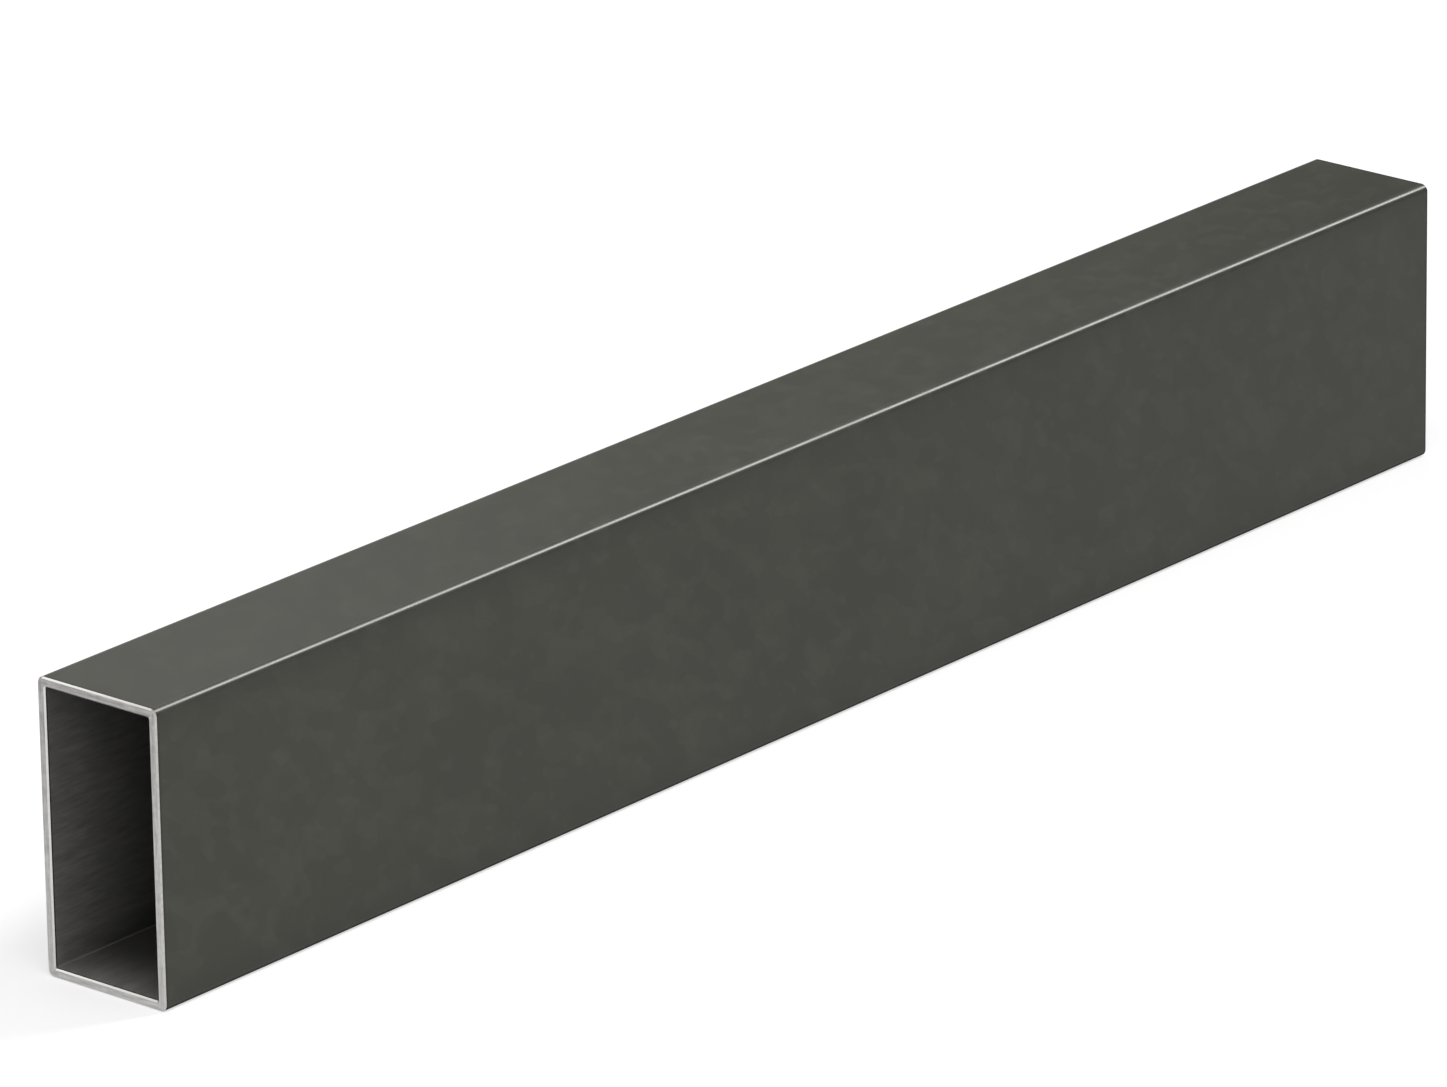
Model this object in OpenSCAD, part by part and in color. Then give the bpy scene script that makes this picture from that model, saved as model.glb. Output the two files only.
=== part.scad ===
// Pergola purlin: one length of rectangular hollow section, extruded as a single
// piece and sawn square at both ends. It lies along X, centred on the origin, and
// stands on its narrow underside at Z = 0, as it is fixed across the rafters.
// All sizes are in millimetres.

/* [Length] */
// Length of the purlin between its sawn ends
purlin_length = 650; // [100:10:6500]

/* [Section] */
// Width of the section, across the narrow top and bottom faces
section_width = 50; // [20:1:150]
// Height of the section, which stands on edge
section_height = 100; // [40:1:300]
// Thickness of all four walls
wall = 3.2; // [2:0.1:8]
// Radius of the four long outside corners
outer_corner_radius = 2.5; // [1:0.1:6]
// Radius of the four long inside corners
inner_corner_radius = 0.5; // [0.2:0.1:4]

/* [Sawn ends] */
// Bevel filed along the outside edge of each sawn end
outer_deburr = 0.5; // [0.1:0.05:0.8]
// Bevel filed along the inside edge of each sawn end
inner_deburr = 0.5; // [0.1:0.05:0.8]

/* [Hidden] */

// Fineness of the round corners when they are drawn as a mesh
$fn = 96;

// Clear size of the bore between the walls
bore_width = section_width - 2 * wall;
bore_height = section_height - 2 * wall;

half_length = purlin_length / 2;

// How far the shape that cuts the bore runs out past each sawn end
cut_past_end = 5;

// The steps of one end of a bar, from the middle outwards. Each step is the distance
// from the middle of the purlin and how far the section has grown there.
function filed_end(bevel) = [
    [half_length - bevel, 0],
    [half_length, -bevel]
];
function flared_end(bevel) = [
    [half_length - bevel, 0],
    [half_length, bevel],
    [half_length + cut_past_end, bevel]
];

// A line that runs along the bar from end to end, this far out from its centre line.
function edge_line(reach, steps) = concat(
    [for (i = [len(steps) - 1 : -1 : 0]) [-steps[i].x, reach + steps[i].y]],
    [for (step = steps) [step.x, reach + step.y]]
);

// Lengthwise outline of a slab that reaches equally far on both sides of the centre line.
module slab_outline(reach, steps) {
    edge = edge_line(reach, steps);
    polygon(concat(edge, [for (i = [len(edge) - 1 : -1 : 0]) [edge[i].x, -edge[i].y]]));
}

// Round rod along X that forms one long corner of a bar.
module corner_rod(radius, steps) {
    edge = edge_line(radius, steps);
    end_x = edge[len(edge) - 1].x;
    rotate([0, 90, 0])
        rotate_extrude()
            polygon(concat(
                [[0, -end_x]],
                [for (point = edge) [point.y, point.x]],
                [[0, end_x]]
            ));
}

// Bar along X with a rounded rectangular section, whose ends follow the steps all the
// way round: flat bevels on the four sides and cone-shaped ones at the four corners.
module rounded_bar(width, height, radius, steps) {
    linear_extrude(height = height - 2 * radius, center = true)
        slab_outline(width / 2, steps);
    rotate([90, 0, 0])
        linear_extrude(height = width - 2 * radius, center = true)
            slab_outline(height / 2, steps);
    for (side = [-1, 1], level = [-1, 1])
        translate([0, side * (width / 2 - radius), level * (height / 2 - radius)])
            corner_rod(radius, steps);
}

// The whole purlin: the outer bar with its bore cut right through.
module purlin_tube() {
    color("#4a4b46")
        translate([0, 0, section_height / 2])
            difference() {
                rounded_bar(section_width, section_height, outer_corner_radius,
                            filed_end(outer_deburr));
                rounded_bar(bore_width, bore_height, inner_corner_radius,
                            flared_end(inner_deburr));
            }
}

purlin_tube();
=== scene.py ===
"""A pergola purlin in a plain studio: one coated length of rectangular hollow section.

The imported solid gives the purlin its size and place. The tube that is modelled here stands for
it, with the same round corners and filed edges, and adds what a saw, a file and an extrusion die
leave on the metal. All lengths are in metres.
"""
import itertools
import logging
import math
import random
from collections import defaultdict
from dataclasses import dataclass
from enum import Enum
from typing import Any, Callable

import bmesh
import bpy
from mathutils import Color, Matrix, Vector

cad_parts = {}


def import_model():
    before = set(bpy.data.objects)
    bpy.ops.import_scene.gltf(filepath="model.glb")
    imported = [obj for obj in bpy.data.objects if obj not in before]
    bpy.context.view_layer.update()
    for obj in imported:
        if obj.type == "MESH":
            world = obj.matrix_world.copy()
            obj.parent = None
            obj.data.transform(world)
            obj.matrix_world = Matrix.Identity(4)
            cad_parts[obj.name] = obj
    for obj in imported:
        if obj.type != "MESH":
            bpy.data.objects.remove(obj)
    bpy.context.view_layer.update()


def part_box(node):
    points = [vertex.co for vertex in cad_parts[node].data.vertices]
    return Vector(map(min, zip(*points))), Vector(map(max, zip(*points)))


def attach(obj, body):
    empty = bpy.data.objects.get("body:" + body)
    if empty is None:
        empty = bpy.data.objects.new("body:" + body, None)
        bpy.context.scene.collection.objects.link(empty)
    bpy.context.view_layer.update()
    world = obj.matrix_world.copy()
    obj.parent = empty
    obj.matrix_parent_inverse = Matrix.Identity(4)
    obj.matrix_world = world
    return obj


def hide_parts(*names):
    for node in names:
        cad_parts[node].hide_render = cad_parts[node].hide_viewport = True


LOG = logging.getLogger("purlin")
TUBE_NODE = "purlin_tube"
MM = 0.001

# Points that lie closer together than this count as being in one place.
NEAR_ENOUGH = 1e-5

# A face whose normal runs at least this far along X belongs to a sawn end.
END_FACING = 0.9

# The axes of a point or a size, as its index counts them: across the width and up the height.
ACROSS = 1
UPWARDS = 2
LENGTHWISE = Vector((1, 0, 0))

Colour = tuple[float, float, float, float]
Socket = bpy.types.NodeSocket
WHITE: Colour = (1.0, 1.0, 1.0, 1.0)
SCREEN_WHITE = 255


def grey(red: int, green: int, blue: int) -> Colour:
    """Turn a colour as a screen shows it, 0 to 255, into the linear one that a shader takes.

    Args:
        red: Red on screen.
        green: Green on screen.
        blue: Blue on screen.

    Returns:
        The linear colour, with full alpha.
    """
    shown = Color((red / SCREEN_WHITE, green / SCREEN_WHITE, blue / SCREEN_WHITE))
    return (*shown.from_srgb_to_scene_linear(), 1.0)


class Element(Enum):
    """What a selection in edit mode is made of, with the mesh's own name for the list."""

    VERT = "verts"
    EDGE = "edges"
    FACE = "faces"


class Mix(Enum):
    """What a Mix node blends: its data type, then its two inputs and its output by number."""

    PATTERNS = ("FLOAT", 2, 3, 0)
    COLOURS = ("RGBA", 6, 7, 2)


class Finish(Enum):
    """The finishes on the tube, in the order of its material slots."""

    COATED = 0
    SAWN = 1
    FILED = 2
    DRAWN = 3


class Wall(Enum):
    """The four walls of the section, by the way that each one faces."""

    TOP = (0, 0, 1)
    BOTTOM = (0, 0, -1)
    FRONT = (0, -1, 0)
    BACK = (0, 1, 0)

    @property
    def facing(self) -> Vector:
        """The wall's outward direction."""
        return Vector(self.value)

    @property
    def sign(self) -> int:
        """1 or -1, as the wall faces up its axis or down it."""
        return sum(self.value)

    @property
    def across(self) -> int:
        """The index of the axis that runs across the wall, square to the length."""
        return ACROSS if self.value[UPWARDS] else UPWARDS


class Lamp(Enum):
    """The two sorts of lamp in the studio, by Blender's names for them."""

    SOFT_BOX = "AREA"
    FAR_LAMP = "SUN"


def pick(piece: bpy.types.Object, element: Element, test: Callable[[Any], bool]) -> None:
    """Select, on a piece in edit mode, only the elements that pass a test.

    Args:
        piece: The piece that is being edited.
        element: What to select.
        test: Says of one element whether it is wanted.
    """
    bpy.ops.mesh.select_mode(type=element.name)
    bpy.ops.mesh.select_all(action="DESELECT")
    shape = bmesh.from_edit_mesh(piece.data)
    for item in getattr(shape, element.value):
        if test(item):
            item.select_set(True)
    bmesh.update_edit_mesh(piece.data)


def span(edge: bmesh.types.BMEdge) -> Vector:
    """How far an edge runs along each axis, without its sign."""
    step = edge.verts[1].co - edge.verts[0].co
    return Vector(map(abs, step))


class ShaderTree:
    """A material's nodes, with one short call that adds a node and wires it."""

    def __init__(self, name: str) -> None:
        """Make the material, with nothing in it yet.

        Args:
            name: The material's name.
        """
        self.material = bpy.data.materials.new(name)
        self.material.use_nodes = True
        self.nodes = self.material.node_tree.nodes
        self.links = self.material.node_tree.links
        self.nodes.clear()

    def add(self, kind: str, inputs: dict[Any, Any] | None = None, **settings: Any) -> bpy.types.Node:
        """Add a node, set its options and fill or wire its inputs.

        Args:
            kind: The node's type without the word ShaderNode.
            inputs: Values or output sockets, by the input's name or number.
            settings: The node's own options.

        Returns:
            The new node.
        """
        node = self.nodes.new("ShaderNode" + kind)
        for option, value in settings.items():
            setattr(node, option, value)
        for where, value in (inputs or {}).items():
            if isinstance(value, Socket):
                self.links.new(value, node.inputs[where])
            else:
                node.inputs[where].default_value = value
        return node

    def point(self) -> Socket:
        """The point on the piece, in its own frame."""
        return self.add("TexCoord").outputs["Object"]

    def drawn_out(self, stretch: float, along: Vector = LENGTHWISE) -> Socket:
        """The point on the piece, for a pattern that is drawn out one way.

        Args:
            stretch: How many times longer than wide the pattern is.
            along: The way in which it is drawn out.

        Returns:
            The socket that holds the point.
        """
        turn = along.to_track_quat("X", "Z").to_euler()
        mapping = {"Vector": self.point(), "Rotation": turn, "Scale": (stretch, 1, 1)}
        return self.add("Mapping", mapping, vector_type="TEXTURE").outputs["Vector"]

    def axes(self, point: Socket) -> list[Socket]:
        """The X, Y and Z of a point."""
        return list(self.add("SeparateXYZ", {"Vector": point}).outputs)

    def noise(self, where: Socket, size: float, detail: float = 2.0) -> Socket:
        """A cloudy pattern.

        Args:
            where: The point to read the pattern at.
            size: Size of its largest blotches.
            detail: How many finer layers it has.

        Returns:
            The socket that holds the pattern, about 0 to 1.
        """
        settings = {"Vector": where, "Scale": 1 / size, "Detail": detail}
        return self.add("TexNoise", settings).outputs["Fac"]

    def stripes(self, along: Socket, size: float, detail: float) -> Socket:
        """A pattern that changes one way only.

        Args:
            along: How far along that way the point lies.
            size: Width of its widest stripes.
            detail: How many finer layers it has.

        Returns:
            The socket that holds the pattern, about 0 to 1.
        """
        settings = {"W": along, "Scale": 1 / size, "Detail": detail}
        return self.add("TexNoise", settings, noise_dimensions="1D").outputs["Fac"]

    def between(self, value: Socket, low: float, high: float,
                start: float = 0.3, stop: float = 0.7) -> Socket:
        """Stretch the middle of a pattern to run between two values.

        Args:
            value: The pattern.
            low: What it becomes where it is at or below start.
            high: What it becomes where it is at or above stop.
            start: Lower end of the pattern's used range.
            stop: Upper end of the pattern's used range.

        Returns:
            The socket that holds the result.
        """
        limits = {"Value": value, "From Min": start, "From Max": stop, "To Min": low, "To Max": high}
        return self.add("MapRange", limits).outputs["Result"]

    def math(self, operation: str, one: Any, other: Any) -> Socket:
        """Work out one number from two.

        Args:
            operation: What to do with them, as the Math node names it.
            one: The first number, or a socket that holds it.
            other: The second number, or a socket that holds it.

        Returns:
            The socket that holds the result.
        """
        return self.add("Math", {0: one, 1: other}, operation=operation).outputs["Value"]

    def vectors(self, operation: str, *values: Any) -> bpy.types.NodeOutputs:
        """Work out a vector or a number from vectors.

        Args:
            operation: What to do with them, as the Vector Math node names it.
            values: The vectors, or sockets that hold them.

        Returns:
            The node's outputs, which are Vector and Value.
        """
        return self.add("VectorMath", dict(enumerate(values)), operation=operation).outputs

    def ramp(self, value: Socket, dark: Colour, light: Colour,
             start: float = 0.3, stop: float = 0.7) -> Socket:
        """Turn a pattern into a blend of two colours.

        Args:
            value: The pattern.
            dark: Colour at and below start.
            light: Colour at and above stop.
            start: Where the blend begins.
            stop: Where the blend ends.

        Returns:
            The socket that holds the colour.
        """
        node = self.add("ValToRGB", {"Fac": value})
        first, last = node.color_ramp.elements
        first.position, first.color = start, dark
        last.position, last.color = stop, light
        return node.outputs["Color"]

    def depths(self, half: Vector) -> list[Socket]:
        """How far in a point lies from the faces of a bar that stands on the floor.

        Args:
            half: Half the bar's size along each axis.

        Returns:
            The sockets that hold the depth from the nearer face, along X, Y and Z.
        """
        from_middle = self.vectors("SUBTRACT", self.point(), (0, 0, half.z))["Vector"]
        away = self.vectors("ABSOLUTE", from_middle)["Vector"]
        return self.axes(self.vectors("SUBTRACT", half, away)["Vector"])

    def blend(self, one: Any, other: Any, share: Any, kind: Mix = Mix.COLOURS) -> Socket:
        """Blend two colours, or two patterns.

        Args:
            one: The first one, or a socket that holds it.
            other: The second one, or a socket that holds it.
            share: How much of the second one there is, 0 to 1, as a number or a socket.
            kind: What is blended.

        Returns:
            The socket that holds the blend.
        """
        data_type, first, second, result = kind.value
        inputs = {"Factor": share, first: one, second: other}
        return self.add("Mix", inputs, data_type=data_type).outputs[result]

    def average(self, one: Any, other: Any, share: Any) -> Socket:
        """Blend two patterns, each of them a number or a socket."""
        return self.blend(one, other, share, Mix.PATTERNS)

    def relief(self, height: Socket, depth: float) -> Socket:
        """Raise a surface by a pattern, in its shading.

        Args:
            height: The pattern.
            depth: Height between the pattern's 0 and 1.

        Returns:
            The socket that holds the tilted normal.
        """
        return self.add("Bump", {"Height": height, "Distance": depth}).outputs["Normal"]

    def finish(self, inputs: dict[str, Any]) -> bpy.types.Material:
        """Close the tree with the surface shader.

        Args:
            inputs: What the surface shader gets, by socket name.

        Returns:
            The finished material.
        """
        surface = self.add("BsdfPrincipled", inputs).outputs["BSDF"]
        self.add("OutputMaterial", {"Surface": surface})
        return self.material


@dataclass(frozen=True)
class PatchLayer:
    """One layer of flat patches in the coat: their size, how rare they are and how strong."""

    size: float
    level: float
    share: float


@dataclass(frozen=True)
class PowderCoat:
    """Satin powder coat: a dark olive grey in faint patches of tone.

    It has painted shade along the upper and lower edges of the sides, and is darker by the cut. The
    upper long edges are rubbed to a shine, and the lower ones, which it stands on, are dull.
    """

    half: Vector
    corner_radius: float
    dark: Colour = grey(56, 57, 49)
    light: Colour = grey(67, 68, 60)
    painted_edge_shade: Colour = grey(44, 45, 39)
    painted_edge_shade_share: float = 0.4
    painted_edge_shade_width: float = 11.0 * MM
    painted_edge_shade_wrap: float = 0.15 * MM
    cut_edge: Colour = grey(30, 30, 27)
    cut_edge_start: float = 0.5 * MM
    cut_edge_stop: float = 1.7 * MM
    cloud: float = 45.0 * MM
    patches: tuple[PatchLayer, ...] = (
        PatchLayer(16.0 * MM, 0.53, 0.5),
        PatchLayer(9.0 * MM, 0.55, 0.4),
        PatchLayer(4.5 * MM, 0.63, 0.2),
    )
    patch_stretch: float = 1.9
    patch_way: Vector = Vector((0.78, 0.46, -0.42))
    patch_detail: float = 1.6
    patch_edge: float = 0.016
    peel: float = 1.1 * MM
    peel_depth: float = 0.003 * MM
    smooth: float = 0.37
    rough: float = 0.41
    specular: float = 0.22
    shine: Colour = (1.0, 0.99, 0.96, 1.0)
    rubbed: float = 0.69
    rub_start: float = 1.81 * MM
    rub_full: float = 1.44 * MM
    rub_lean: float = 0.65
    dull_start: float = 2.1 * MM
    dull_full: float = 1.6 * MM

    def material(self) -> bpy.types.Material:
        """Build the shader: patches of tone, a fine orange peel, and gloss that follows the edges.

        Returns:
            The finished material.
        """
        tree = ShaderTree("olive_grey_powder_coat")
        end, side, top = tree.depths(self.half)
        tone = self._tone(tree)
        return tree.finish({
            "Base Color": self._colour(tree, tone, end, side, top),
            "Roughness": tree.between(tone, self.smooth, self.rough, 0, 1),
            "Specular IOR Level": self._gloss(tree, side, top),
            "Specular Tint": self.shine,
            "Normal": tree.relief(tree.noise(tree.point(), self.peel), self.peel_depth),
        })

    def _tone(self, tree: ShaderTree) -> Socket:
        """Soft clouds with flat patches over them, from broad ones to specks.

        Args:
            tree: The coat's nodes.

        Returns:
            The socket that holds the tone, 0 to 1.
        """
        where = tree.drawn_out(self.patch_stretch, self.patch_way)
        tone = tree.between(tree.noise(where, self.cloud), 0, 1)
        for layer in self.patches:
            spread = tree.noise(where, layer.size, self.patch_detail)
            start, stop = layer.level - self.patch_edge, layer.level + self.patch_edge
            tone = tree.average(tone, tree.between(spread, 0, 1, start, stop), layer.share)
        return tone

    def _colour(self, tree: ShaderTree, tone: Socket, end: Socket, side: Socket, top: Socket) -> Socket:
        """The coat's colour, with painted shade along the edges of the sides and a dark band by the
        cut.

        Args:
            tree: The coat's nodes.
            tone: The pattern of patches.
            end: Depth from the nearer sawn end.
            side: Depth from the nearer side.
            top: Depth from the top or the underside.

        Returns:
            The socket that holds the colour.
        """
        colour = tree.ramp(tone, self.dark, self.light, 0, 1)
        # Painted shade: the colour darkens along the upper and lower edges of the sides.
        on_side = tree.between(side, self.painted_edge_shade_share, 0, 0, self.painted_edge_shade_wrap)
        by_edge = tree.between(top, 1, 0, self.corner_radius, self.painted_edge_shade_width)
        colour = tree.blend(colour, self.painted_edge_shade, tree.math("MULTIPLY", on_side, by_edge))
        clear_of_cut = tree.between(end, 0, 1, self.cut_edge_start, self.cut_edge_stop)
        return tree.blend(self.cut_edge, colour, clear_of_cut)

    def _gloss(self, tree: ShaderTree, side: Socket, top: Socket) -> Socket:
        """How strongly the coat mirrors, all over and on its long edges.

        Args:
            tree: The coat's nodes.
            side: Depth from the nearer side.
            top: Depth from the top or the underside.

        Returns:
            The socket that holds the specular level.
        """
        # The rub reaches further over the top than down the side, so the two depths count unequally.
        crest = tree.math("ADD", tree.math("MULTIPLY", side, self.rub_lean),
                          tree.math("MULTIPLY", top, 2 - self.rub_lean))
        rub = tree.between(crest, 1, 0, self.rub_full, self.rub_start)
        rubbed = tree.average(self.specular, self.rubbed, rub)
        corner = tree.math("ADD", side, top)
        dulled = tree.between(corner, 0, self.specular, self.dull_full, self.dull_start)
        height = tree.axes(tree.point())[UPWARDS]
        upper = tree.math("GREATER_THAN", height, self.half.z)
        return tree.average(dulled, rubbed, upper)


@dataclass(frozen=True)
class SawnMetal:
    """Bare metal as the saw leaves it: strokes across each wall and a grain along it, with painted
    light that makes it paler towards the bottom and the front.
    """

    half: Vector
    dark: Colour = grey(142, 141, 140)
    light: Colour = grey(204, 203, 201)
    tone_range: tuple[float, float] = (0.2, 0.8)
    stroke: float = 2.6 * MM
    stroke_detail: float = 3.0
    stroke_depth: float = 0.004 * MM
    grain: float = 1.0 * MM
    grain_stretch: float = 8.0
    grain_share: float = 0.5
    painted_light_way: Vector = Vector((0, 0.7, 1))
    painted_light_share: float = 0.3
    smooth: float = 0.4
    rough: float = 0.5

    def material(self) -> bpy.types.Material:
        """Build the shader: strokes and grain that follow each wall, mitred at the corners.

        Returns:
            The finished material.
        """
        tree = ShaderTree("sawn_bare_metal")
        point = tree.point()
        _, sideways, upwards = tree.axes(point)
        _, side, top = tree.depths(self.half)
        in_side_wall = tree.math("LESS_THAN", side, top)
        along = tree.average(sideways, upwards, in_side_wall)
        across = tree.average(upwards, sideways, in_side_wall)
        strokes = tree.stripes(along, self.stroke, self.stroke_detail)
        run = {"X": tree.math("DIVIDE", along, self.grain_stretch), "Y": across}
        spread = tree.noise(tree.add("CombineXYZ", run).outputs["Vector"], self.grain)
        marks = tree.average(strokes, tree.between(spread, 0, 1), self.grain_share)
        # Painted light: the colour is made paler towards the bottom and the front.
        painted_light_along = tree.vectors("DOT_PRODUCT", point, self.painted_light_way)["Value"]
        lower = tree.between(painted_light_along, 1, 0, 0, 2 * self.half.z)
        tone = tree.average(marks, lower, self.painted_light_share)
        return tree.finish({
            "Base Color": tree.ramp(tone, self.dark, self.light, *self.tone_range),
            "Metallic": 1.0,
            "Roughness": tree.between(strokes, self.smooth, self.rough),
            "Normal": tree.relief(strokes, self.stroke_depth),
        })


@dataclass(frozen=True)
class FiledMetal:
    """Bare metal that a file has brightened, along the edges of a sawn end, with painted light that
    makes it brighter towards the back.
    """

    half: Vector
    dark: Colour = grey(176, 174, 170)
    light: Colour = grey(216, 214, 210)
    tone_range: tuple[float, float] = (0.2, 0.8)
    painted_back_light_share: float = 0.37
    stroke: float = 1.4 * MM
    stroke_detail: float = 3.0
    smooth: float = 0.3
    rough: float = 0.4

    def material(self) -> bpy.types.Material:
        """Build the shader: small bright and dull patches, as a hand file leaves them.

        Returns:
            The finished material.
        """
        tree = ShaderTree("filed_bright_metal")
        point = tree.point()
        strokes = tree.noise(point, self.stroke, self.stroke_detail)
        # Painted light: the colour is made brighter towards the back.
        back = tree.between(tree.axes(point)[ACROSS], 0, 1, -self.half.y, self.half.y)
        tone = tree.average(strokes, back, self.painted_back_light_share)
        return tree.finish({
            "Base Color": tree.ramp(tone, self.dark, self.light, *self.tone_range),
            "Metallic": 1.0,
            "Roughness": tree.between(strokes, self.smooth, self.rough),
        })


@dataclass(frozen=True)
class DrawnBore:
    """The dark uncoated inside of the tube: streaked by the die, with painted light by the mouth and
    painted shade on its floor further in.
    """

    half: Vector
    wall: float
    dark: Colour = grey(114, 113, 111)
    light: Colour = grey(143, 142, 139)
    painted_mouth_light: Colour = grey(214, 213, 210)
    painted_mouth_light_share: float = 0.19
    painted_mouth_light_reach: float = 20.0 * MM
    painted_mouth_light_ragged: float = 10.0 * MM
    painted_mouth_light_height: float = 88.0 * MM
    painted_deep_shade: Colour = grey(84, 83, 81)
    painted_deep_shade_share: float = 0.8
    painted_deep_shade_reach: float = 28.0 * MM
    painted_deep_shade_height: float = 12.0 * MM
    painted_corner_highlight: Colour = grey(184, 183, 180)
    painted_corner_highlight_width: float = 0.5 * MM
    lip: Colour = grey(60, 59, 58)
    lip_start: float = 0.8 * MM
    lip_stop: float = 1.3 * MM
    streak: float = 2.0 * MM
    streak_detail: float = 4.0
    streak_depth: float = 0.004 * MM
    streak_stretch: float = 9.0
    fine_streak: float = 0.7 * MM
    fine_share: float = 0.5
    smooth: float = 0.38
    rough: float = 0.55
    metal: float = 0.6

    def material(self) -> bpy.types.Material:
        """Build the shader: colour, gloss and relief all follow streaks drawn out along the bore.

        Returns:
            The finished material.
        """
        tree = ShaderTree("drawn_dark_bore")
        where = tree.drawn_out(self.streak_stretch)
        broad = tree.noise(where, self.streak, self.streak_detail)
        streaks = tree.average(broad, tree.noise(where, self.fine_streak), self.fine_share)
        return tree.finish({
            "Base Color": self._colour(tree, streaks),
            "Metallic": self.metal,
            "Roughness": tree.between(streaks, self.smooth, self.rough),
            "Normal": tree.relief(streaks, self.streak_depth),
        })

    def _colour(self, tree: ShaderTree, streaks: Socket) -> Socket:
        """The bore's colour: painted shade on the floor further in, painted light by the mouth, a
        painted highlight along the inside corners and a dark lip.

        Args:
            tree: The bore's nodes.
            streaks: The pattern that the die leaves.

        Returns:
            The socket that holds the colour.
        """
        end, side, top = tree.depths(self.half)
        height = tree.axes(tree.point())[UPWARDS]
        # Painted shade: the colour darkens low on the floor, further in from the mouth.
        painted_deep_shade_mask = tree.math("MULTIPLY", tree.between(end, 0, self.painted_deep_shade_share, 0, self.painted_deep_shade_reach),
                        tree.between(height, 1, 0, self.wall, self.painted_deep_shade_height))
        colour = tree.blend(tree.ramp(streaks, self.dark, self.light), self.painted_deep_shade, painted_deep_shade_mask)
        # Painted light: the colour is lightened near the mouth, most low down.
        fringe = self.painted_mouth_light_ragged / 2
        ragged = tree.math("ADD", end, tree.between(streaks, fringe, -fringe))
        painted_mouth_light_mask = tree.math("MULTIPLY", tree.between(ragged, self.painted_mouth_light_share, 0, 0, self.painted_mouth_light_reach),
                             tree.between(height, 1, 0, self.wall, self.painted_mouth_light_height))
        colour = tree.blend(colour, self.painted_mouth_light, painted_mouth_light_mask)
        # Painted highlight: a pale line along the bore's inside corners. In a corner of the bore, each
        # of the two depths is one wall.
        from_corner = tree.math("ADD", side, top)
        corner = 2 * self.wall
        clear_of_corner_highlight = tree.between(from_corner, 0, 1, corner, corner + self.painted_corner_highlight_width)
        colour = tree.blend(self.painted_corner_highlight, colour, clear_of_corner_highlight)
        return tree.blend(self.lip, colour, tree.between(end, 0, 1, self.lip_start, self.lip_stop))


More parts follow.
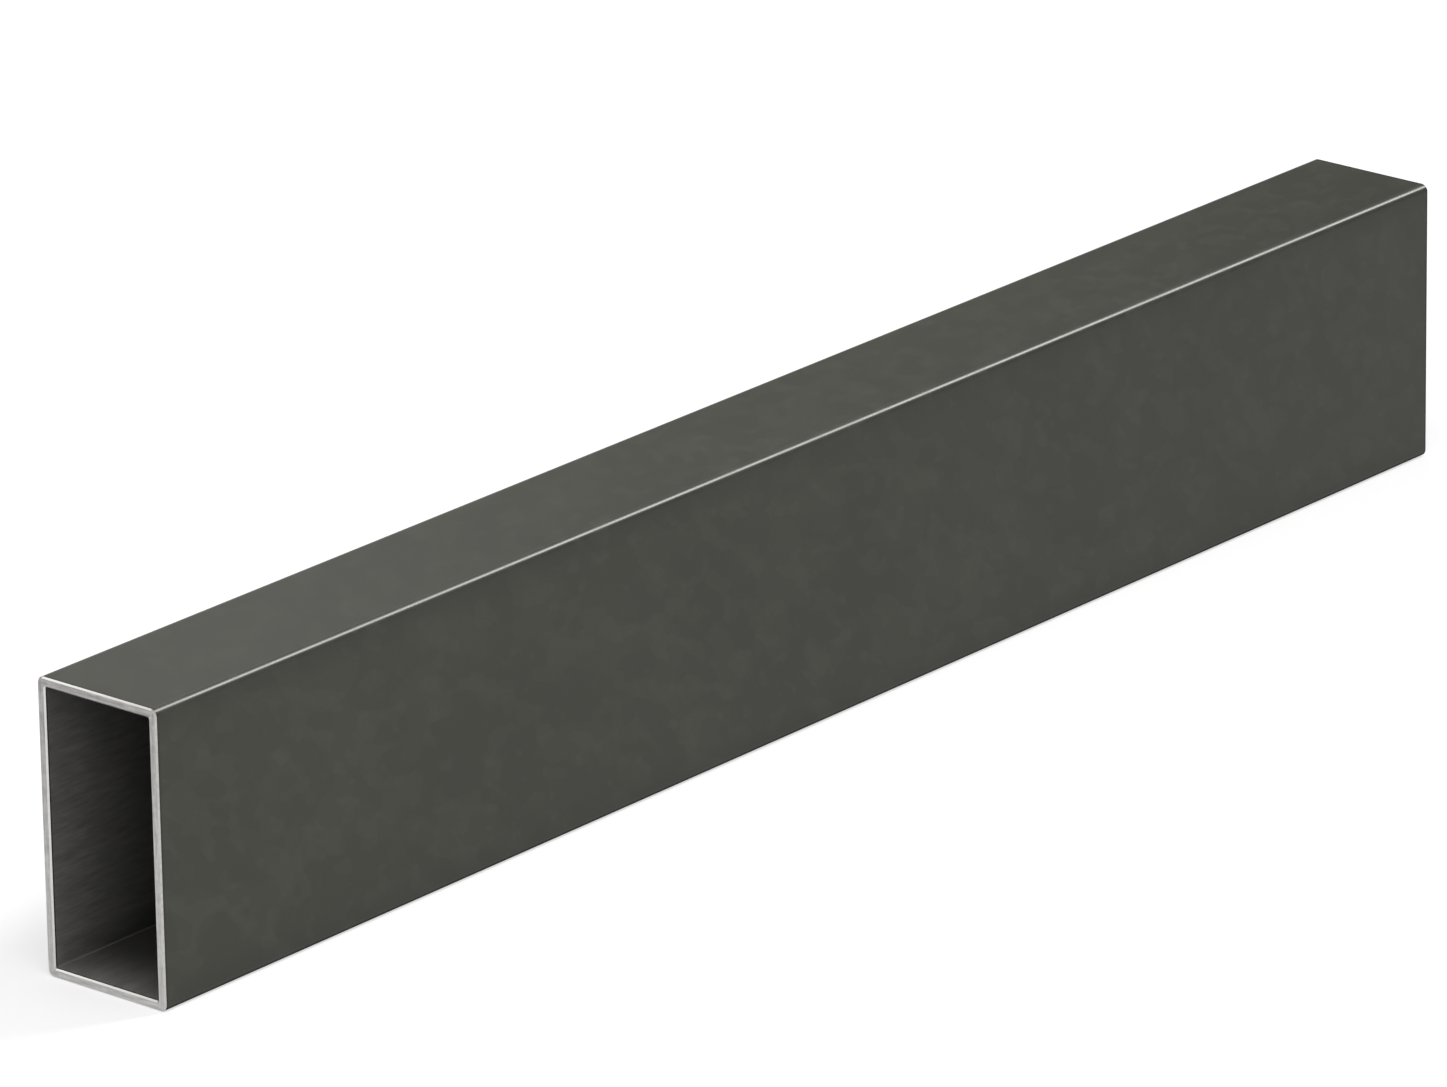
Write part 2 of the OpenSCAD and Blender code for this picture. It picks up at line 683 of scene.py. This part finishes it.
@dataclass
class PurlinTube:
    """The purlin itself: a rectangular hollow section, sawn square and filed at both ends."""

    low: Vector
    high: Vector
    wall: float = 3.2 * MM
    outer_radius: float = 2.5 * MM
    inner_radius: float = 0.5 * MM
    outer_bevel: float = 0.5 * MM
    inner_bevel: float = 0.5 * MM
    corner_steps: int = 14
    column_pitch: float = 0.9 * MM
    ring_cuts: int = 2
    saw_mark: float = 0.012 * MM
    die_line: float = 0.02 * MM
    die_line_rarity: int = 3
    smooth_angle: float = math.radians(30)
    seed: int = 7

    @property
    def size(self) -> Vector:
        """Length, width and height of the purlin."""
        return self.high - self.low

    @property
    def end(self) -> float:
        """How far each sawn end lies from the middle."""
        return self.size.x / 2

    @property
    def middle(self) -> Vector:
        """The middle of the section, half way along."""
        return (self.low + self.high) / 2

    def build(self) -> bpy.types.Object:
        """Model the tube, from a rounded bar to the last die line.

        Returns:
            The finished piece, at the origin with its place in its mesh.
        """
        bpy.ops.object.select_all(action="DESELECT")
        bpy.ops.mesh.primitive_cube_add(size=1)
        tube = bpy.context.active_object
        tube.name = tube.data.name = "coated_purlin"
        bpy.ops.object.mode_set(mode="EDIT")
        self._shape_bar(tube)
        self._cut_ends(tube)
        self._open_bore(tube)
        self._lay_columns(tube)
        self._mark_metal(tube)
        bpy.ops.object.mode_set(mode="OBJECT")
        bpy.ops.object.shade_smooth_by_angle(angle=self.smooth_angle)
        return tube

    def dress(self, tube: bpy.types.Object) -> None:
        """Give each face of the tube its finish.

        Args:
            tube: The modelled tube.
        """
        half = self.size / 2
        finishes = {
            Finish.COATED: PowderCoat(half, self.outer_radius),
            Finish.SAWN: SawnMetal(half),
            Finish.FILED: FiledMetal(half),
            Finish.DRAWN: DrawnBore(half, self.wall),
        }
        for finish in Finish:
            tube.data.materials.append(finishes[finish].material())
        for face in tube.data.polygons:
            face.material_index = self._finish_of(face).value

    def depth(self, point: Vector) -> float:
        """How deep a point lies in the section, in from its rounded outside.

        Args:
            point: A point of the tube.

        Returns:
            The depth, 0 on the outside and one wall on the inside.
        """
        off = point - self.middle
        beside = abs(off.y) - self.size.y / 2 + self.outer_radius
        above = abs(off.z) - self.size.z / 2 + self.outer_radius
        round_part = math.hypot(max(beside, 0), max(above, 0))
        return self.outer_radius - round_part - min(max(beside, above), 0)

    def at_end(self, point: Vector) -> bool:
        """Whether a point lies in the plane of a sawn end."""
        return abs(self.end - abs(point.x)) < NEAR_ENOUGH

    def _is_cap(self, face: bmesh.types.BMFace) -> bool:
        """Whether a face closes the bore, in the middle of an end."""
        return self.depth(face.calc_center_median()) > 2 * self.wall

    def _finish_of(self, face: bpy.types.MeshPolygon) -> Finish:
        """Which finish a face wears, by its place and the way that it faces.

        Args:
            face: A face of the modelled tube.

        Returns:
            Its finish.
        """
        if abs(face.normal.x) > END_FACING:
            return Finish.SAWN
        if self.end - abs(face.center.x) < max(self.outer_bevel, self.inner_bevel):
            return Finish.FILED
        return Finish.COATED if self.depth(face.center) < self.wall / 2 else Finish.DRAWN

    def _shape_bar(self, tube: bpy.types.Object) -> None:
        """Stretch the new cube to a bar that stops short at the bevels, and round its long edges.

        Args:
            tube: The piece in edit mode, still a cube of size 1.
        """
        short_of_ends = Vector((2 * self.outer_bevel, 0, 0))
        bpy.ops.transform.resize(value=self.size - short_of_ends)
        bpy.ops.transform.translate(value=self.middle)
        pick(tube, Element.EDGE, lambda edge: span(edge).x > self.end)
        bpy.ops.mesh.bevel(offset=self.outer_radius, segments=self.corner_steps, affect="EDGES",
                           offset_type="OFFSET", clamp_overlap=False)

    def _cut_ends(self, tube: bpy.types.Object) -> None:
        """Carry both ends out to the saw cut, filed round the outside and flared into the bore.

        Args:
            tube: The piece in edit mode, a rounded bar.
        """
        sawn_radius = self.outer_radius - self.outer_bevel
        mouth_radius = self.inner_radius + self.inner_bevel
        inset = sawn_radius / 2
        inset_radius = sawn_radius - inset
        bore_shift = self.wall + self.inner_radius - self.outer_radius
        outer_reach = self.size / 2 - Vector.Fill(3, self.outer_radius)
        bore_reach = outer_reach - Vector.Fill(3, bore_shift)

        self._extrude_ends(tube, self.outer_bevel)
        self._redraw_outline(tube, self.at_end, outer_reach, sawn_radius / self.outer_radius)
        pick(tube, Element.FACE, lambda face: abs(face.normal.x) > END_FACING)
        bpy.ops.mesh.inset(thickness=inset)
        inside = self.outer_bevel + inset / 2
        self._redraw_outline(tube, lambda point: self.depth(point) > inside, outer_reach,
                             mouth_radius / inset_radius, bore_shift)
        self._extrude_ends(tube, -self.inner_bevel)
        self._redraw_outline(tube, lambda point: self.depth(point) > inside and not self.at_end(point),
                             bore_reach, self.inner_radius / mouth_radius)

    def _extrude_ends(self, tube: bpy.types.Object, reach: float) -> None:
        """Extrude the caps in the middle of both ends.

        Args:
            tube: The piece in edit mode.
            reach: How far the caps move outwards, or inwards if it is below 0.
        """
        for end in (-1, 1):
            pick(tube, Element.FACE,
                 lambda face: end * face.normal.x > END_FACING and self._is_cap(face))
            bpy.ops.mesh.extrude_region_move(TRANSFORM_OT_translate={"value": (end * reach, 0, 0)})

    def _redraw_outline(self, tube: bpy.types.Object, wanted: Callable[[Vector], bool],
                        reach: Vector, shrink: float, shift: float = 0.0) -> None:
        """Give an outline on both ends another corner radius and move its corners in.

        Args:
            tube: The piece in edit mode.
            wanted: Says of a point whether it is on the outline.
            reach: How far the centres of its corner arcs lie from the section's middle.
            shrink: New corner radius as a share of the old one.
            shift: How far the corners move in, along both axes.
        """
        for side, level in itertools.product((-1, 1), (-1, 1)):
            way = Vector((0, side, level))
            pick(tube, Element.VERT, lambda vert: wanted(vert.co)
                 and side * vert.co.y > 0 and level * (vert.co.z - self.middle.z) > 0)
            arc_centre = self.middle + way * reach
            bpy.ops.transform.resize(value=(1, shrink, shrink), center_override=arc_centre)
            bpy.ops.transform.translate(value=-shift * way)

    def _open_bore(self, tube: bpy.types.Object) -> None:
        """Take the caps out of both ends and run the bore's outline through from one to the other.

        Args:
            tube: The piece in edit mode, with both ends cut.
        """
        def in_bore(vert: bmesh.types.BMVert) -> bool:
            """Whether a point is on the bore's own outline, inside the flare."""
            return self.depth(vert.co) > self.wall / 2 and not self.at_end(vert.co)

        pick(tube, Element.FACE, self._is_cap)
        bpy.ops.mesh.delete(type="ONLY_FACE")
        pick(tube, Element.EDGE, lambda edge: all(map(in_bore, edge.verts)))
        bpy.ops.mesh.bridge_edge_loops()
        bpy.ops.mesh.select_all(action="SELECT")
        bpy.ops.mesh.normals_make_consistent(inside=False)

    def _lay_columns(self, tube: bpy.types.Object) -> None:
        """Divide the flat walls into narrow columns that run right round, and the rings across.

        Args:
            tube: The piece in edit mode, open right through.
        """
        def crosses_ring(edge: bmesh.types.BMEdge) -> bool:
            """Whether an edge runs from the outside of a sawn ring to its inside.

            Args:
                edge: An edge of the piece.

            Returns:
                True if it does.
            """
            one, other = (vert.co for vert in edge.verts)
            thickness = abs(self.depth(one) - self.depth(other))
            return self.at_end(one) and self.at_end(other) and thickness > self.wall / 3

        for axis in (ACROSS, UPWARDS):
            flat = self.size[axis] - 2 * self.outer_radius
            pick(tube, Element.EDGE, lambda edge: span(edge)[axis] > flat / 2)
            bpy.ops.mesh.subdivide(number_cuts=round(flat / self.column_pitch))
        pick(tube, Element.EDGE, crosses_ring)
        bpy.ops.mesh.subdivide(number_cuts=self.ring_cuts)

    def _mark_metal(self, tube: bpy.types.Object) -> None:
        """Press saw marks into both rings and die lines into the bore, one column at a time.

        Args:
            tube: The piece in edit mode, laid out in columns.
        """
        bpy.ops.mesh.select_mode(type="VERT")
        shape = bmesh.from_edit_mesh(tube.data)
        marks = defaultdict(list)
        for vert in shape.verts:
            wall = self._wall_of(vert.co)
            column = round(vert.co[wall.across] / NEAR_ENOUGH)
            if self.at_end(vert.co):
                marks[(wall.name, column, math.copysign(1, vert.co.x))].append(vert)
            elif abs(self.depth(vert.co) - self.wall) < NEAR_ENOUGH:
                marks[(wall.name, column, 0)].append(vert)
        draw = random.Random(self.seed)
        for (name, _, end), verts in sorted(marks.items(), key=lambda item: item[0]):
            if end:
                push = Vector((-end * draw.random() * self.saw_mark, 0, 0))
            else:
                push = Wall[name].facing * draw.random() ** self.die_line_rarity * self.die_line
            bpy.ops.mesh.select_all(action="DESELECT")
            for vert in verts:
                vert.select_set(True)
            bmesh.update_edit_mesh(tube.data)
            bpy.ops.transform.translate(value=push)

    def _wall_of(self, point: Vector) -> Wall:
        """The wall that a point lies in, with the corners shared out at their mitres.

        Args:
            point: A point of the tube.

        Returns:
            The wall whose outside face is nearest.
        """
        off = point - self.middle

        def past_face(wall: Wall) -> float:
            """How far the point lies past the wall's outside face, below 0 on its inside."""
            return off.dot(wall.facing) - self.size.dot(wall.facing * wall.sign) / 2

        return max(Wall, key=past_face)


def hang_lamp(name: str, kind: Lamp, place: Vector, back: Vector) -> bpy.types.Object:
    """Add a lamp and turn it.

    Args:
        name: The lamp's name.
        kind: Which sort of lamp it is.
        place: Where it hangs.
        back: The way that its back faces, opposite to its light.

    Returns:
        The lamp.
    """
    bpy.ops.object.select_all(action="DESELECT")
    turn = back.to_track_quat("Z", "Y").to_euler()
    bpy.ops.object.light_add(type=kind.value, location=place, rotation=turn)
    lamp = bpy.context.active_object
    lamp.name = name
    return lamp


@dataclass(frozen=True)
class SoftBox:
    """A flat soft lamp that the camera doesn't see.

    Its glow is how bright its face is, where 1 is white.
    """

    name: str
    place: Vector
    aim: Vector
    width: float
    height: float
    glow: float

    def light(self) -> None:
        """Set the lamp up."""
        lamp = hang_lamp(self.name, Lamp.SOFT_BOX, self.place, self.place - self.aim)
        lamp.data.shape = "RECTANGLE"
        lamp.data.size, lamp.data.size_y = self.width, self.height
        lamp.data.energy = self.glow * math.pi * self.width * self.height
        lamp.visible_camera = False


@dataclass(frozen=True)
class KeyLight:
    """A large far lamp that lights the whole length evenly."""

    towards: Vector = Vector((0.70, -0.28, 0.645))
    distance: float = 4.0
    strength: float = 1.9
    spread: float = math.radians(16)

    def light(self) -> None:
        """Set the lamp up, shining from the way that it names."""
        lamp = hang_lamp("key_light", Lamp.FAR_LAMP, self.distance * self.towards, self.towards)
        lamp.data.energy = self.strength
        lamp.data.angle = self.spread


@dataclass(frozen=True)
class PhotoCamera:
    """The camera at the photograph's viewing angle."""

    target: Vector = Vector((-0.0266, 0, 0.0629))
    distance: float = 3.621
    azimuth: float = math.radians(-49.6)
    elevation: float = math.radians(19.99)
    roll: float = math.radians(-0.9)
    lens: float = 275.2
    sensor: float = 36.0

    def stand(self) -> None:
        """Set the camera up and make it the scene's own."""
        level = math.cos(self.elevation)
        back = Vector((math.sin(self.azimuth) * level, -math.cos(self.azimuth) * level,
                       math.sin(self.elevation)))
        right = Vector((math.cos(self.azimuth), math.sin(self.azimuth), 0))
        up = back.cross(right)
        rolled = math.cos(self.roll) * right + math.sin(self.roll) * up
        upright = math.cos(self.roll) * up - math.sin(self.roll) * right
        bpy.ops.object.camera_add()
        camera = bpy.context.active_object
        camera.name = "photo_camera"
        turn = Matrix((rolled, upright, back)).transposed().to_4x4()
        camera.matrix_world = Matrix.Translation(self.target + self.distance * back) @ turn
        camera.data.lens = self.lens
        camera.data.sensor_width = self.sensor
        bpy.context.scene.camera = camera


@dataclass
class Studio:
    """A plain pale floor under soft light."""

    floor_radius: float = 14.0
    floor_sides: int = 96
    floor_colour: Colour = (0.47, 0.47, 0.47, 1.0)
    floor_lift: float = 0.56
    room_colour: Colour = (0.25, 0.25, 0.25, 1.0)
    near_end: Vector = Vector((-0.325, 0, 0.1))

    def build(self) -> None:
        """Lay the floor, light the room and stand the camera."""
        self._lay_floor()
        self._fill_room()
        self._hang_lamps()
        PhotoCamera().stand()
        bpy.context.scene.view_settings.view_transform = "Standard"

    def _lay_floor(self) -> None:
        """A round pale floor under the purlin, lifted to white where it is seen."""
        bpy.ops.object.select_all(action="DESELECT")
        bpy.ops.mesh.primitive_circle_add(vertices=self.floor_sides, radius=self.floor_radius,
                                          fill_type="NGON")
        floor = bpy.context.active_object
        floor.name = "studio_floor"
        tree = ShaderTree("pale_floor")
        rays = tree.add("LightPath").outputs
        seen = rays["Is Camera Ray"]
        for ray in ("Is Glossy Ray", "Is Transmission Ray"):
            seen = tree.math("MAXIMUM", seen, rays[ray])
        floor.data.materials.append(tree.finish({
            "Base Color": self.floor_colour,
            "Roughness": 1.0,
            "Specular IOR Level": 0.0,
            "Emission Color": WHITE,
            "Emission Strength": tree.math("MULTIPLY", seen, self.floor_lift),
        }))

    def _fill_room(self) -> None:
        """An even dim light from all round."""
        world = bpy.data.worlds.new("studio_room")
        world.use_nodes = True
        world.node_tree.nodes["Background"].inputs["Color"].default_value = self.room_colour
        bpy.context.scene.world = world

    def _hang_lamps(self) -> None:
        """The far key light, a broad box over it all, and smaller boxes round the near end."""
        KeyLight().light()
        for box in (
            SoftBox("ceiling_box", place=Vector((-0.7, -0.9, 2.6)), aim=Vector(),
                    width=3.0, height=3.0, glow=1.5),
            SoftBox("fill_box", place=Vector((-0.9, -0.95, 0.6)), aim=self.near_end,
                    width=0.6, height=0.6, glow=2.6),
            SoftBox("overhead_box", place=Vector((-0.8, 0.8, 1.05)), aim=self.near_end,
                    width=0.9, height=0.9, glow=1.55),
            SoftBox("rear_box", place=Vector((0.3, 0.95, 0.65)), aim=self.near_end,
                    width=0.9, height=0.7, glow=0.4),
            SoftBox("rear_wide_box", place=Vector((0.7, 0.95, 0.65)), aim=self.near_end,
                    width=0.9, height=0.7, glow=0.2),
        ):
            box.light()


def main() -> None:
    """Load the frame, build the purlin and its studio, and log the tube's face count."""
    logging.basicConfig(level=logging.INFO, format="%(name)s: %(message)s")
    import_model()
    purlin = PurlinTube(*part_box(TUBE_NODE))
    tube = purlin.build()
    purlin.dress(tube)
    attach(tube, "root")
    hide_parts(TUBE_NODE)
    LOG.info("%s: %d faces", tube.name, len(tube.data.polygons))
    Studio().build()
    LOG.info("studio ready")


if __name__ == "__main__":
    main()
